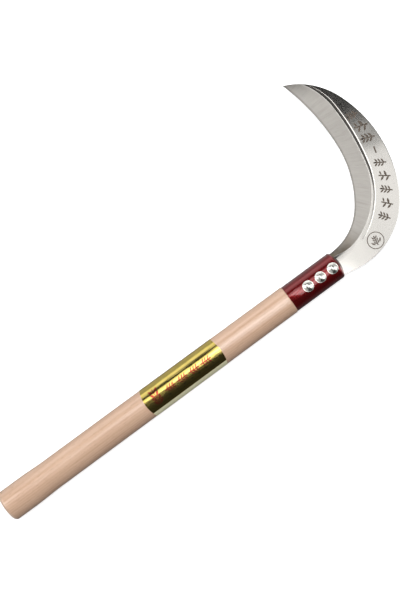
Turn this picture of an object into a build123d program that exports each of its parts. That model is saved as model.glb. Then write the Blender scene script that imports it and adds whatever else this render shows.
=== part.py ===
"""Hand sickle: crescent steel blade, red steel ferrule, three rivets, turned wooden handle with a foil label.

Millimetres. The origin is the middle of the handle's butt face. +X runs along the handle to the blade,
+Y is the side the blade hooks to, +Z is the bevelled face of the blade.
"""
import os
from math import asin, degrees, sqrt

from build123d import *

os.makedirs("parts", exist_ok=True)

CLEARANCE = 0.05
THROUGH = 60.0

# Handle: a turned round with a swelled butt, and a slimmer tenon inside the ferrule.
HANDLE_END_X = 315.8
BUTT_R = 14.8
BUTT_ROUNDING = 3.5
BUTT_SWELL_END_X = 23.0
NECK_X = 52.0
NECK_R = 14.05
GRIP_X = 132.0
GRIP_R = 13.95
FRONT_R = 13.4
FRONT_CHAMFER = 0.6
TENON_R = 11.95
TENON_END_X = 366.0
TENON_CHAMFER = 1.0

# Ferrule: a drawn steel cap with a domed, slotted front.
FERRULE_R = 13.0
FERRULE_WALL = 1.0
FERRULE_FRONT_X = 371.7
DOME_R = 24.0
RIM_ROUNDING = 2.5
MOUTH_ROUNDING = 0.3
SLOT_START_X = 366.6
SLOT_TOP_Y = 11.75
SLOT_BOTTOM_Y = -11.95

# Blade: a flat crescent with one wide ground bevel. Each run of arcs is (radius, degrees of turn).
# The edge and the shoulder of the bevel have as many arcs as each other, so they pair up.
BLADE_T = 3.0
EDGE_LAND_T = 0.3
EDGE_START = (375.3, 11.8)
EDGE_HEADING = 4.5
EDGE_ARCS = ((51.5, 17.5), (51.5, 31.1), (102.5, 22.9), (102.5, 9.4), (196.0, 6.5), (196.0, 15.1))
BACK_START = (377.5, -13.1)
BACK_HEADING = -13.0
BACK_ARCS = ((69.0, 73.0), (117.0, 51.5), (69.0, 43.6))
SHOULDER_START = (376.5, 6.0)
SHOULDER_HEADING = -11.5
SHOULDER_ARCS = ((40.0, 30.3), (70.5, 32.5), (70.5, 24.3), (211.0, 9.7), (211.0, 6.6), (65.5, 29.5))
PAST_TIP = (1.5, 8.0)

# Groove: the shallow line struck just outside the shoulder.
GROOVE_START = (400.8, 5.5)
GROOVE_HEADING = 23.6
GROOVE_ARCS = ((77.2, 52.5), (216.0, 15.9), (56.2, 40.0))
GROOVE_W = 1.2
GROOVE_DEPTH = 0.15

# Tang: the blade's tail, held in the handle's saw cut.
TANG_ROOT_X = 366.4
BEVEL_ROOT_X = 368.3
TANG_END_X = 322.0
TANG_END_W = 16.0
TANG_ROUNDING = 2.5
KERF_END_X = 320.5

# Rivets: a headed rivet through ferrule, wood and tang, closed over a washer on the +Z side.
RIVET_XS = {"rear": 335.5, "middle": 349.0, "front": 362.5}
RIVET_R = 2.5
RIVET_HOLE_R = 2.55
WASHER_R = 5.2
WASHER_T = 0.8
WASHER_LIFT = 0.02
HEAD_R = 4.6
HEAD_RIM = 0.15
HEAD_DOME = 1.9

# Label: a foil sheet wrapped over the handle's +Z side, with bowed ends.
LABEL_START_X = 155.8
LABEL_END_X = 239.2
LABEL_END_BOW_R = 39.0
LABEL_T = 0.13
LABEL_LIFT = 0.02
LABEL_WRAP = 210.0


def heading_vector(heading):
    """The direction at a heading in degrees, anticlockwise from +X."""
    return Vector(1, 0).rotate(Axis.Z, heading)


def arc_run(start, heading, arcs, root_x=None, past=0.0):
    """Tangent arcs one after another, led in by a straight from root_x, the last turning past its end."""
    direction = heading_vector(heading)
    point = Vector(*start)
    edges = []
    if root_x is not None:
        back = direction * ((point.X - root_x) / direction.X)
        edges.append(Line(point - back, point))
    for index, (radius, turn) in enumerate(arcs):
        last = index == len(arcs) - 1
        arc = JernArc(point, direction, radius, turn + (past if last else 0.0))
        edges.append(arc)
        point = arc @ 1
        direction = arc % 1
    return edges


def rivet_bars(radius):
    """A round bar for each rivet, right through."""
    bars = [Pos(x, 0, 0) * Cylinder(radius, THROUGH) for x in RIVET_XS.values()]
    return bars[0] + bars[1:]


def along_x(radius):
    """A round bar on the X axis, under all three rivets."""
    middle_x = RIVET_XS["middle"]
    return Pos(middle_x, 0, 0) * Rot(Y=90) * Cylinder(radius, THROUGH)


def handle_radius(x):
    """The handle's radius on its long taper."""
    share = (x - GRIP_X) / (HANDLE_END_X - GRIP_X)
    return GRIP_R + share * (FRONT_R - GRIP_R)


def make_handle():
    shoulder_x = HANDLE_END_X - FRONT_CHAMFER
    with BuildPart() as handle:
        with BuildSketch():
            with BuildLine():
                Line((0, 0), (0, BUTT_R - BUTT_ROUNDING))
                JernArc((0, BUTT_R - BUTT_ROUNDING), (0, 1), BUTT_ROUNDING, -90)
                Line((BUTT_ROUNDING, BUTT_R), (BUTT_SWELL_END_X, BUTT_R))
                Spline((BUTT_SWELL_END_X, BUTT_R), (NECK_X, NECK_R), tangents=[(1, 0), (1, 0)])
                Polyline(
                    (NECK_X, NECK_R),
                    (GRIP_X, GRIP_R),
                    (shoulder_x, handle_radius(shoulder_x)),
                    (HANDLE_END_X, FRONT_R - FRONT_CHAMFER),
                    (HANDLE_END_X, TENON_R),
                    (TENON_END_X - TENON_CHAMFER, TENON_R),
                    (TENON_END_X, TENON_R - TENON_CHAMFER),
                    (TENON_END_X, 0),
                    (0, 0),
                )
            make_face()
        revolve(axis=Axis.X)
    kerf_length = TENON_END_X + 1 - KERF_END_X
    kerf = Pos(KERF_END_X + kerf_length / 2, 0, 0) * Box(kerf_length, THROUGH, BLADE_T + 2 * CLEARANCE)
    return handle.part - kerf - rivet_bars(RIVET_HOLE_R)


def cap_profile(radius, dome_radius, rounding, start_x):
    """Half the lengthwise section of a domed bar, above the X axis."""
    centre_x = FERRULE_FRONT_X - DOME_R
    corner_x = centre_x + sqrt(dome_radius**2 - radius**2)
    with BuildSketch() as profile:
        with BuildLine():
            Polyline((centre_x + dome_radius, 0), (start_x, 0), (start_x, radius), (corner_x, radius))
            CenterArc((centre_x, 0), dome_radius, 0, degrees(asin(radius / dome_radius)))
        make_face()
        corner = [v for v in profile.vertices() if abs(v.X - corner_x) < 0.01]
        fillet(corner, rounding)
    return profile.sketch


def make_ferrule():
    outer = cap_profile(FERRULE_R, DOME_R, RIM_ROUNDING, HANDLE_END_X)
    inner_r = FERRULE_R - FERRULE_WALL
    inner = cap_profile(inner_r, DOME_R - FERRULE_WALL, RIM_ROUNDING - FERRULE_WALL, HANDLE_END_X - 1)
    wall = outer - inner
    mouth = [v for v in wall.vertices() if abs(v.X - HANDLE_END_X) < 0.01]
    shell = revolve(fillet(mouth, MOUTH_ROUNDING), axis=Axis.X)
    slot_length = FERRULE_FRONT_X + 1 - SLOT_START_X
    slot_w = SLOT_TOP_Y - SLOT_BOTTOM_Y
    slot_middle = Pos(SLOT_START_X + slot_length / 2, (SLOT_TOP_Y + SLOT_BOTTOM_Y) / 2, 0)
    slot = slot_middle * Box(slot_length, slot_w, BLADE_T + 4 * CLEARANCE)
    return shell - slot - rivet_bars(RIVET_HOLE_R)


def bevel_section(run, z):
    """A flat region of the hook's inside, bounded by a run and closed well clear of the blade."""
    first = run[0] @ 0
    last = run[-1] @ 1
    clear_y = 180.0
    closing = Polyline(last, (last.X, clear_y), (first.X, clear_y), first)
    return Pos(0, 0, z) * make_face([*run, *closing.edges()])


def make_blade():
    edge = arc_run(EDGE_START, EDGE_HEADING, EDGE_ARCS, TANG_ROOT_X)
    back = arc_run(BACK_START, BACK_HEADING, BACK_ARCS, TANG_ROOT_X)
    tip = Line(edge[-1] @ 1, back[-1] @ 1)
    half_tang = TANG_END_W / 2
    tang = Polyline(edge[0] @ 0, (TANG_END_X, half_tang), (TANG_END_X, -half_tang), back[0] @ 0)
    outline = make_face([*edge, tip, *back, *tang.edges()])
    tail = [v for v in outline.vertices() if abs(v.X - TANG_END_X) < 0.01]
    plate = Pos(0, 0, -BLADE_T / 2) * extrude(fillet(tail, TANG_ROUNDING), BLADE_T)

    past_edge, past_shoulder = PAST_TIP
    low = arc_run(EDGE_START, EDGE_HEADING, EDGE_ARCS, BEVEL_ROOT_X, past_edge)
    high = arc_run(SHOULDER_START, SHOULDER_HEADING, SHOULDER_ARCS, BEVEL_ROOT_X, past_shoulder)
    low_z = EDGE_LAND_T - BLADE_T / 2
    ground_off = loft([bevel_section(low, low_z), bevel_section(high, BLADE_T / 2)], ruled=True)

    inner = arc_run(GROOVE_START, GROOVE_HEADING, GROOVE_ARCS)
    outward = heading_vector(GROOVE_HEADING - 90) * GROOVE_W
    outer_start = Vector(*GROOVE_START) + outward
    outer_arcs = [(radius + GROOVE_W, turn) for radius, turn in GROOVE_ARCS]
    outer = arc_run((outer_start.X, outer_start.Y), GROOVE_HEADING, outer_arcs)
    ends = [Line(inner[0] @ 0, outer[0] @ 0), Line(inner[-1] @ 1, outer[-1] @ 1)]
    strip = make_face([*inner, *outer, *ends])
    groove = Pos(0, 0, BLADE_T / 2 - GROOVE_DEPTH) * extrude(strip, 1)

    return plate - ground_off - groove - rivet_bars(RIVET_HOLE_R)


def domed_head(x, seat_r):
    """A low domed head on the +Z side, hollowed under to sit on a round of the seat's radius."""
    rim_z = seat_r + HEAD_RIM
    sphere_r = (HEAD_R**2 + HEAD_DOME**2) / (2 * HEAD_DOME)
    dome = Pos(x, 0, rim_z + HEAD_DOME - sphere_r) * Sphere(sphere_r)
    side = Pos(x, 0, rim_z) * Cylinder(HEAD_R, 2 * HEAD_DOME + 2)
    return (dome & side) - along_x(seat_r)


def make_rivet(x):
    front_seat = FERRULE_R + WASHER_LIFT + WASHER_T + WASHER_LIFT
    back_seat = FERRULE_R + WASHER_LIFT
    shank = Pos(x, 0, (front_seat - back_seat) / 2) * Cylinder(RIVET_R, front_seat + back_seat + 1)
    return domed_head(x, front_seat) + Rot(X=180) * domed_head(x, back_seat) + shank


def make_washer(x):
    under_r = FERRULE_R + WASHER_LIFT
    bent_sheet = along_x(under_r + WASHER_T) - along_x(under_r)
    above = Pos(x, 0, THROUGH / 2)
    return bent_sheet & (above * Cylinder(WASHER_R, THROUGH) - above * Cylinder(RIVET_HOLE_R, THROUGH))


def make_label():
    start_r = handle_radius(LABEL_START_X) + LABEL_LIFT
    end_r = handle_radius(LABEL_END_X) + LABEL_LIFT
    section = make_face(
        Polyline(
            (LABEL_START_X, start_r),
            (LABEL_END_X, end_r),
            (LABEL_END_X, end_r + LABEL_T),
            (LABEL_START_X, start_r + LABEL_T),
            close=True,
        ).edges()
    )
    sheet = revolve(section, axis=Axis.X, revolution_arc=LABEL_WRAP)
    turn_to_top = 90 - LABEL_WRAP / 2
    limb_y = GRIP_R + 1
    bow = LABEL_END_BOW_R - sqrt(LABEL_END_BOW_R**2 - limb_y**2)
    start_arc = ThreePointArc((LABEL_START_X + bow, limb_y), (LABEL_START_X, 0), (LABEL_START_X + bow, -limb_y))
    end_arc = ThreePointArc((LABEL_END_X - bow, -limb_y), (LABEL_END_X, 0), (LABEL_END_X - bow, limb_y))
    sides = [Line(start_arc @ 1, end_arc @ 0), Line(end_arc @ 1, start_arc @ 0)]
    plan = make_face([start_arc, end_arc, *sides])
    return (Rot(X=turn_to_top) * sheet) & extrude(plan, THROUGH, both=True)


nodes = {
    "handle": make_handle(),
    "ferrule": make_ferrule(),
    "blade": make_blade(),
    "label": make_label(),
}
for place, x in RIVET_XS.items():
    nodes[f"rivet_{place}"] = make_rivet(x)
    nodes[f"washer_{place}"] = make_washer(x)

for name, shape in nodes.items():
    shape.label = name
    export_step(shape, f"parts/{name}.step")
    print(f"{name:14s} {shape.volume:10.1f} mm3, {len(shape.solids())} solid, valid {shape.is_valid}")
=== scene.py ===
import math

import bmesh
import bpy
from bpy.props import FloatProperty, FloatVectorProperty, IntProperty, PointerProperty
from mathutils import Matrix, Vector


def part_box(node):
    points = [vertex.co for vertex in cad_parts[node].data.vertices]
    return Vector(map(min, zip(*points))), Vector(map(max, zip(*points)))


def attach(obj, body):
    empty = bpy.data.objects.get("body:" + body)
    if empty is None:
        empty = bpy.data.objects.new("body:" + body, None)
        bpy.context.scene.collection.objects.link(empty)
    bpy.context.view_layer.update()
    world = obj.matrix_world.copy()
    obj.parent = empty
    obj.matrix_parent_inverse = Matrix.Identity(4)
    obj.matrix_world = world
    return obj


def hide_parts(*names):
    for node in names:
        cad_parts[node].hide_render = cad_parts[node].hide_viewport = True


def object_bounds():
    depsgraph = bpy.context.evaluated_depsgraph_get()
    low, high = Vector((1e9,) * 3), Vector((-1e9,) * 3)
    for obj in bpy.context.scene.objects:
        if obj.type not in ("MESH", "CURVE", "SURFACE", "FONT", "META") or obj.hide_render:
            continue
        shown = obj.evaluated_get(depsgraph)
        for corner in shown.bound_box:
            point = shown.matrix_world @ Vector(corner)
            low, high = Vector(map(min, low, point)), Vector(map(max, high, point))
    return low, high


bl_info = {
    "name": "Hand Sickle",
    "version": (1, 0, 0),
    "blender": (4, 5, 0),
    "location": "3D View > Sidebar > Sickle",
    "description": "Builds a hand sickle: ground blade, turned handle, riveted ferrule and foil label",
    "category": "Object",
}

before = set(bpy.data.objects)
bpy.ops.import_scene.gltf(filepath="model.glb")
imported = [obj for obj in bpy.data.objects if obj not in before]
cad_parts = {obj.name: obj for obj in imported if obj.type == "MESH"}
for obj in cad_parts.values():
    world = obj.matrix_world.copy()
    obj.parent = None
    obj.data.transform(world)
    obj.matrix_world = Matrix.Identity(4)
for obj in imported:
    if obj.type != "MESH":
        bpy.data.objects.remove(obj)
CAD_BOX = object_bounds()
BODY = "root"

MM = 0.001
ORIGIN = Vector((0, 0, 0))
X_AXIS = Vector((1, 0, 0))
Z_AXIS = Vector((0, 0, 1))

# Lengthwise places on the handle's axis, from the frame.
HANDLE_LOW, HANDLE_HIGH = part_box("handle")
FERRULE_LOW, FERRULE_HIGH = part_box("ferrule")
LABEL_LOW, LABEL_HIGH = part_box("label")
BLADE_LOW, BLADE_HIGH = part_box("blade")
RIVET_PLACES = ("rear", "middle", "front")
RIVET_XS = {place: sum(c.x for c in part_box(f"rivet_{place}")) / 2 for place in RIVET_PLACES}

# The blade's lines, each a start, a heading in degrees, and arcs of (radius, degrees of turn).
EDGE_LINE = ((375.3, 11.8), 4.5, ((51.5, 48.6), (102.5, 32.3), (196.0, 21.6)))
BACK_LINE = ((377.5, -13.1), -13.0, ((69.0, 73.0), (117.0, 51.5), (69.0, 43.6)))
SHOULDER_LINE = ((376.5, 6.0), -11.5, ((40.0, 30.3), (70.5, 56.8), (211.0, 16.3), (65.5, 29.5)))
GROOVE_LINE = ((365.4, 1.3), -10.0, ((61.7, 33.6), (77.2, 52.5), (216.0, 15.9), (56.2, 33.2)))
GROOVE_START_X = 400.8 * MM
ROOT_X = 366.4 * MM
BEVEL_ROOT_X = 368.3 * MM
TANG_HALF_W = 8.0 * MM


# ---------------------------------------------------------------- settings


def length(name, description, default):
    """A length in metres that the sidebar shows in the scene's units."""
    return FloatProperty(name=name, description=description, default=default, unit="LENGTH", precision=5)


def colour(name, description, default):
    """A linear colour without alpha."""
    return FloatVectorProperty(
        name=name, description=description, default=default, subtype="COLOR", size=3, min=0, max=1
    )


def share(name, description, default):
    """A number from 0 to 1."""
    return FloatProperty(name=name, description=description, default=default, subtype="FACTOR", min=0, max=1)


class BladeSettings(bpy.types.PropertyGroup):
    """Sizes and colours of the blade."""

    edge_land: length("Edge land", "Thickness left at the cutting edge", 0.3 * MM)
    micro_bevel: length("Micro bevel", "Width of the honed strip along the edge", 1.5 * MM)
    hollow: length("Hollow", "How far the grinding wheel dishes the bevel", 0.12 * MM)
    ridge_width: length("Ridge width", "Width of the eased shoulder", 0.35 * MM)
    groove_width: length("Groove width", "Width of the struck line", 1.2 * MM)
    groove_depth: length("Groove depth", "Depth of the struck line", 0.15 * MM)
    back_rounding: length("Back rounding", "Radius of the blade's back edges", 0.25 * MM)
    back_inset: length("Back inset", "How far the back is drawn in from its arcs", 0.03 * MM)
    polished: colour("Polished steel", "Colour of the polished flat", (0.63, 0.61, 0.575))
    ground: colour("Ground steel", "Colour of the ground bevel", (0.375, 0.357, 0.332))
    mark: colour("Etched marks", "Colour of the etched ornament", (0.048, 0.037, 0.028))
    mark_size: length("Mark size", "Length of one etched sprig", 11.4 * MM)
    mark_height: length("Mark height", "How far the etched crust stands up", 0.016 * MM)
    mark_count: IntProperty(name="Marks", description="Sprigs along the flat", default=9, min=2)
    marks_from: share("Marks from", "Where the sprigs start, as a share of the blade", 0.705)
    marks_to: share("Marks to", "Where the sprigs end, as a share of the blade", 0.285)
    ring_x: length("Ring place", "Where the ring is along the blade's heel", 409.6 * MM)
    ring_y: length("Ring height", "Where the ring is across the blade's heel", -3.2 * MM)
    ring_radius: length("Ring radius", "Radius of the ring", 7.9 * MM)


class HandleSettings(bpy.types.PropertyGroup):
    """Sizes and colours of the handle."""

    butt_rounding: length("Butt rounding", "Radius of the butt's edge", 3.5 * MM)
    swell_end: length("Swell end", "Where the swelled butt starts to slim", 23.0 * MM)
    neck_x: length("Neck", "Where the swell has run out", 52.0 * MM)
    neck_radius: length("Neck radius", "Radius just past the swell", 14.05 * MM)
    grip_x: length("Grip", "Where the long taper starts", 132.0 * MM)
    grip_radius: length("Grip radius", "Radius at the start of the taper", 13.95 * MM)
    front_x: length("Front", "Where the wood meets the ferrule", FERRULE_LOW.x)
    front_radius: length("Front radius", "Radius at the ferrule", 13.4 * MM)
    front_chamfer: length("Front chamfer", "Chamfer at the ferrule", 0.6 * MM)
    tenon_radius: length("Tenon radius", "Radius inside the ferrule", 11.95 * MM)
    kerf_x: length("Saw cut", "Where the tang's saw cut ends", 320.5 * MM)
    kerf_width: length("Saw cut width", "Width of the tang's saw cut", 3.1 * MM)
    pale: colour("Pale wood", "Colour between the growth lines", (0.71, 0.478, 0.335))
    dark: colour("Dark wood", "Colour of the growth lines", (0.58, 0.36, 0.238))
    pore: colour("Pores", "Colour of the short flecks", (0.36, 0.205, 0.12))


class FerruleSettings(bpy.types.PropertyGroup):
    """Sizes and colours of the ferrule."""

    wall: length("Wall", "Thickness of the drawn steel", 1.0 * MM)
    dome_radius: length("Dome radius", "Radius of the domed front", 24.0 * MM)
    rim_rounding: length("Rim rounding", "Radius between the side and the dome", 2.5 * MM)
    mouth_rounding: length("Mouth rounding", "Radius of the open end's lips", 0.3 * MM)
    front_x: length("Front", "Where the dome is furthest forward", 371.7 * MM)
    slot_x: length("Slot", "Where the blade's slot starts", 366.6 * MM)
    slot_top: length("Slot top", "The slot's end on the edge side", 11.75 * MM)
    slot_bottom: length("Slot bottom", "The slot's end on the back side", -11.95 * MM)
    slot_width: length("Slot width", "Width of the blade's slot", 3.2 * MM)
    lacquer: colour("Lacquer", "Colour of the red lacquer", (0.225, 0.0025, 0.004))
    steel: colour("Bare steel", "Colour where the lacquer is rubbed", (0.42, 0.10, 0.09))


class RivetSettings(bpy.types.PropertyGroup):
    """Sizes and colours of the rivets and washers."""

    shank_radius: length("Shank radius", "Radius of the rivet's shank", 2.5 * MM)
    hole_radius: length("Hole radius", "Radius of the holes that the shanks fill", 2.55 * MM)
    head_radius: length("Head radius", "Radius of the domed heads", 4.6 * MM)
    head_rim: length("Head rim", "Height of a head's straight rim", 0.15 * MM)
    head_dome: length("Head dome", "Height of a head above its rim", 1.89 * MM)
    washer_radius: length("Washer radius", "Outer radius of the washers", 5.2 * MM)
    washer_thickness: length("Washer thickness", "Thickness of the washers", 0.8 * MM)
    lift: length("Lift", "Gap between pressed faces", 0.02 * MM)
    nickel: colour("Nickel", "Colour of the plating", (0.86, 0.85, 0.79))


class LabelSettings(bpy.types.PropertyGroup):
    """Sizes and colours of the label."""

    thickness: length("Thickness", "Thickness of the foil", 0.13 * MM)
    lift: length("Lift", "Gap between the foil and the wood", 0.02 * MM)
    wrap: FloatProperty(
        name="Wrap", description="Angle the foil covers", default=math.radians(210), subtype="ANGLE"
    )
    bow_radius: length("End bow", "Radius of the bowed ends, seen flat on", 39.0 * MM)
    corner: length("Corner", "Radius of the corners", 3.0 * MM)
    gold: colour("Gold foil", "Colour of the foil", (0.78, 0.61, 0.17))
    # Painted reflection: the pale, dull band on the foil's -Y side, and the arc where it starts, stand in for the pale
    # floor mirrored in the foil.
    rim_reflection: colour("Border", "Colour of the paper border on the plain side", (0.88, 0.84, 0.56))
    rim_reflection_from: length("Border place", "Arc from the top line to the paper border", 10.9 * MM)
    print_thickness: length("Print thickness", "Thickness of the print", 0.014 * MM)
    print_red: colour("Red print", "Colour of the printed ornament", (0.52, 0.085, 0.04))
    print_black: colour("Dark print", "Colour of the printed lines", (0.05, 0.035, 0.02))


class StageSettings(bpy.types.PropertyGroup):
    """The floor, the lights and the camera."""

    floor_size: length("Floor", "Side of the floor", 24.0)
    floor: colour("Floor colour", "Colour of the paper floor", (0.90, 0.90, 0.90))
    floor_glow: share("Floor glow", "Light that the paper gives by itself", 0.6)
    sky: share("Sky", "How bright the studio is overhead", 0.03)
    ground_glow: share("Ground glow", "How much brighter it is from below", 0.07)
    far_glow: share("Far glow", "How much brighter it is from the hook's side", 0.42)
    end_glow: share("End glow", "How much brighter it is past the handle's ends", 0.5)
    camera_turn: FloatProperty(
        name="Camera turn", description="Turn of the view", default=math.radians(-36.35), subtype="ANGLE"
    )
    camera_x: length("Camera place", "Place of the camera along the handle", 0.2507)
    camera_y: length("Camera side", "Place of the camera to the side", 0.0466)
    camera_height: length("Camera height", "Height of the camera over the handle's axis", 1.25)
    view_height: length("View height", "What the camera sees along its upright side", 0.541)


# ---------------------------------------------------------------- shader helpers


class Value:
    """A number that a shader node gives. Python's signs on it add Math nodes."""

    def __init__(self, finish, socket):
        self.finish = finish
        self.socket = socket

    def math(self, operation, *others):
        sockets = {0: self}
        for index, other in enumerate(others, start=1):
            sockets[index] = other
        return self.finish.node("ShaderNodeMath", {"operation": operation}, sockets)

    def __add__(self, other):
        return self.math("ADD", other)

    __radd__ = __add__

    def __mul__(self, other):
        return self.math("MULTIPLY", other)

    __rmul__ = __mul__

    def __sub__(self, other):
        return self.math("SUBTRACT", other)

    def __rsub__(self, other):
        return (self * -1) + other

    def __truediv__(self, other):
        return self.math("DIVIDE", other)

    def __pow__(self, other):
        return self.math("POWER", other)

    def clamp(self):
        return self.math("MAXIMUM", 0.0).math("MINIMUM", 1.0)

    def above(self, edge, width):
        """0 below an edge and 1 above it, over a width."""
        return ((self - (edge - width / 2)) / width).clamp()


class Finish:
    """A material, or the world, whose nodes are added one call at a time."""

    def __init__(self, owner):
        owner.use_nodes = True
        self.owner = owner
        self.tree = owner.node_tree
        self.shader = next(n for n in self.tree.nodes if n.type in ("BSDF_PRINCIPLED", "BACKGROUND"))

    def node(self, kind, settings=None, sockets=None, output=0):
        """Adds a node with its settings, fills or links its sockets, and gives one output."""
        made = self.tree.nodes.new(kind)
        for key, setting in (settings or {}).items():
            if key == "stops":
                self.set_stops(made.color_ramp, setting)
            else:
                setattr(made, key, setting)
        for key, value in (sockets or {}).items():
            self.fill(made.inputs[key], value)
        return Value(self, made.outputs[output])

    def set_stops(self, ramp, stops):
        while len(ramp.elements) < len(stops):
            ramp.elements.new(0.5)
        for element, (position, tint) in zip(ramp.elements, stops):
            element.position = position
            element.color = (*tint, 1)

    def fill(self, socket, value):
        if isinstance(value, Value):
            self.tree.links.new(value.socket, socket)
        elif hasattr(value, "__len__") and len(value) == 3 and socket.type == "RGBA":
            socket.default_value = (*value, 1)
        else:
            socket.default_value = value

    def surface(self, **sockets):
        """Sets or links the shader's sockets, whose names are given with _ for a space."""
        for key, value in sockets.items():
            self.fill(self.shader.inputs[key.replace("_", " ")], value)

    def place(self, scale=(1, 1, 1), move=(0, 0, 0)):
        """The piece's own coordinates in metres, scaled and then moved."""
        spot = self.node("ShaderNodeTexCoord", output="Object")
        return self.node("ShaderNodeMapping", {}, {"Vector": spot, "Scale": scale, "Location": move})

    def uv(self, scale=(1, 1, 1)):
        """The piece's UV map, scaled."""
        spot = self.node("ShaderNodeUVMap", {"uv_map": UV_NAME})
        return self.node("ShaderNodeMapping", {}, {"Vector": spot, "Scale": scale})

    def noise(self, vector, scale=1.0, detail=3.0, roughness=0.5):
        sockets = {"Vector": vector, "Scale": scale, "Detail": detail, "Roughness": roughness}
        return self.node("ShaderNodeTexNoise", {}, sockets)

    def ramp(self, factor, *stops):
        return self.node("ShaderNodeValToRGB", {"stops": stops}, {0: factor})

    def mix(self, factor, first, second):
        return self.node("ShaderNodeMix", {"data_type": "RGBA"}, {0: factor, 6: first, 7: second}, 2)

    def bump(self, height, strength, distance):
        sockets = {"Height": height, "Strength": strength, "Distance": distance}
        return self.node("ShaderNodeBump", {}, sockets)


UV_NAME = "along_across"


def new_finish(name):
    return Finish(bpy.data.materials.new(name))


# ---------------------------------------------------------------- mesh helpers


def finish_piece(name, bm, materials, replaced=(), cutters=(), crease=30.0):
    """Makes a piece of a bmesh, cuts it, shades it and puts it on the frame."""
    bmesh.ops.remove_doubles(bm, verts=bm.verts, dist=1e-6)
    bmesh.ops.recalc_face_normals(bm, faces=bm.faces)
    mesh = bpy.data.meshes.new(name)
    bm.to_mesh(mesh)
    bm.free()
    for finish in materials:
        mesh.materials.append(finish.owner)
    piece = bpy.data.objects.new(name, mesh)
    bpy.context.scene.collection.objects.link(piece)
    for cutter in cutters:
        cut(piece, cutter)
    piece.data.polygons.foreach_set("use_smooth", [True] * len(piece.data.polygons))
    piece.data.set_sharp_from_angle(angle=math.radians(crease))
    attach(piece, BODY)
    if replaced:
        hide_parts(*replaced)
    return piece


def cut(piece, cutter_bm):
    """Cuts a closed bmesh out of a piece."""
    bmesh.ops.recalc_face_normals(cutter_bm, faces=cutter_bm.faces)
    mesh = bpy.data.meshes.new("cutter")
    cutter_bm.to_mesh(mesh)
    cutter_bm.free()
    cutter = bpy.data.objects.new("cutter", mesh)
    bpy.context.scene.collection.objects.link(cutter)
    modifier = piece.modifiers.new("cut", "BOOLEAN")
    modifier.operation = "DIFFERENCE"
    modifier.solver = "EXACT"
    modifier.object = cutter
    graph = bpy.context.evaluated_depsgraph_get()
    result = bpy.data.meshes.new_from_object(piece.evaluated_get(graph))
    piece.modifiers.clear()
    old = piece.data
    piece.data = result
    result.name = piece.name
    bpy.data.meshes.remove(old)
    bpy.data.objects.remove(cutter)
    bpy.data.meshes.remove(mesh)


def chain(bm, points, closed=False):
    """Verts and edges through a list of points."""
    verts = [bm.verts.new(p) for p in points]
    pairs = list(zip(verts, verts[1:])) + ([(verts[-1], verts[0])] if closed else [])
    edges = [bm.edges.new(pair) for pair in pairs]
    return verts + edges


def turned(profile, axis, steps, closed=False):
    """A round shape from a half section of (along, radius) points, turned about an axis."""
    bm = bmesh.new()
    if axis is X_AXIS:
        points = [(along, 0, radius) for along, radius in profile]
    else:
        points = [(radius, 0, along) for along, radius in profile]
    section = chain(bm, points, closed)
    bmesh.ops.spin(
        bm, geom=section, cent=ORIGIN, axis=axis, angle=math.tau, steps=steps, use_merge=True
    )
    bmesh.ops.remove_doubles(bm, verts=bm.verts, dist=1e-6)
    return bm


def arc_points(centre, radius, start, end, count):
    """Points (along, radius) on an arc, its angles in degrees from the along direction."""
    points = []
    for i in range(count + 1):
        angle = math.radians(start + (end - start) * i / count)
        points.append((centre[0] + radius * math.cos(angle), centre[1] + radius * math.sin(angle)))
    return points


def block(low, high):
    """A closed box between two corners."""
    bm = bmesh.new()
    bmesh.ops.create_cube(bm, size=1)
    low, high = Vector(low), Vector(high)
    bmesh.ops.scale(bm, vec=high - low, verts=bm.verts)
    bmesh.ops.translate(bm, vec=(low + high) / 2, verts=bm.verts)
    return bm


def rivet_holes(radius):
    """Three upright bars where the rivets pass."""
    bm = bmesh.new()
    for x in RIVET_XS.values():
        bmesh.ops.create_cone(
            bm, cap_ends=True, segments=32, radius1=radius, radius2=radius, depth=60 * MM,
            matrix=Matrix.Translation((x, 0, 0)),
        )
    return bm


def smooth(x):
    """An even S from 0 to 1."""
    x = min(max(x, 0.0), 1.0)
    return x * x * (3 - 2 * x)


def blend(a, b, t):
    return a + (b - a) * t


# ---------------------------------------------------------------- blade


class Line:
    """A straight lead-in and tangent arcs, walked by share of their whole length."""

    def __init__(self, start, heading, arcs, root_x):
        self.start = Vector(start) * MM
        self.heading = math.radians(heading)
        self.lead = max((self.start.x - root_x) / math.cos(self.heading), 0)
        self.arcs = [(radius * MM, math.radians(turn)) for radius, turn in arcs]
        self.length = self.lead + sum(radius * turn for radius, turn in self.arcs)

    def at(self, t):
        """The point and the heading at a share of the length; past the end, the last arc goes on."""
        left = t * self.length - self.lead
        point, heading = self.start.copy(), self.heading
        if left <= 0:
            return point + left * Vector((math.cos(heading), math.sin(heading))), heading
        for index, (radius, turn) in enumerate(self.arcs):
            last = index == len(self.arcs) - 1
            step = left / radius if last else min(left / radius, turn)
            centre = point + radius * Vector((-math.sin(heading), math.cos(heading)))
            heading += step
            point = centre + radius * Vector((math.sin(heading), -math.cos(heading)))
            left -= step * radius
            if left < 1e-9:
                break
        return point, heading

    def beside(self, t, distance):
        """A point that far to the right of the line."""
        point, heading = self.at(t)
        return point + distance * Vector((math.sin(heading), -math.cos(heading)))

    def crossing(self, origin, across, guess):
        """How far along a section from its origin the line crosses it, and the share there."""
        square = Vector((-across.y, across.x))
        low, high = guess - 0.02, guess
        off_low = (self.at(low)[0] - origin).dot(square)
        for _ in range(8):
            off_high = (self.at(high)[0] - origin).dot(square)
            if abs(off_high) < 1e-9 or off_high == off_low:
                break
            low, high, off_low = high, high - off_high * (high - low) / (off_high - off_low), off_high
        return (self.at(high)[0] - origin).dot(across), high


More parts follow.
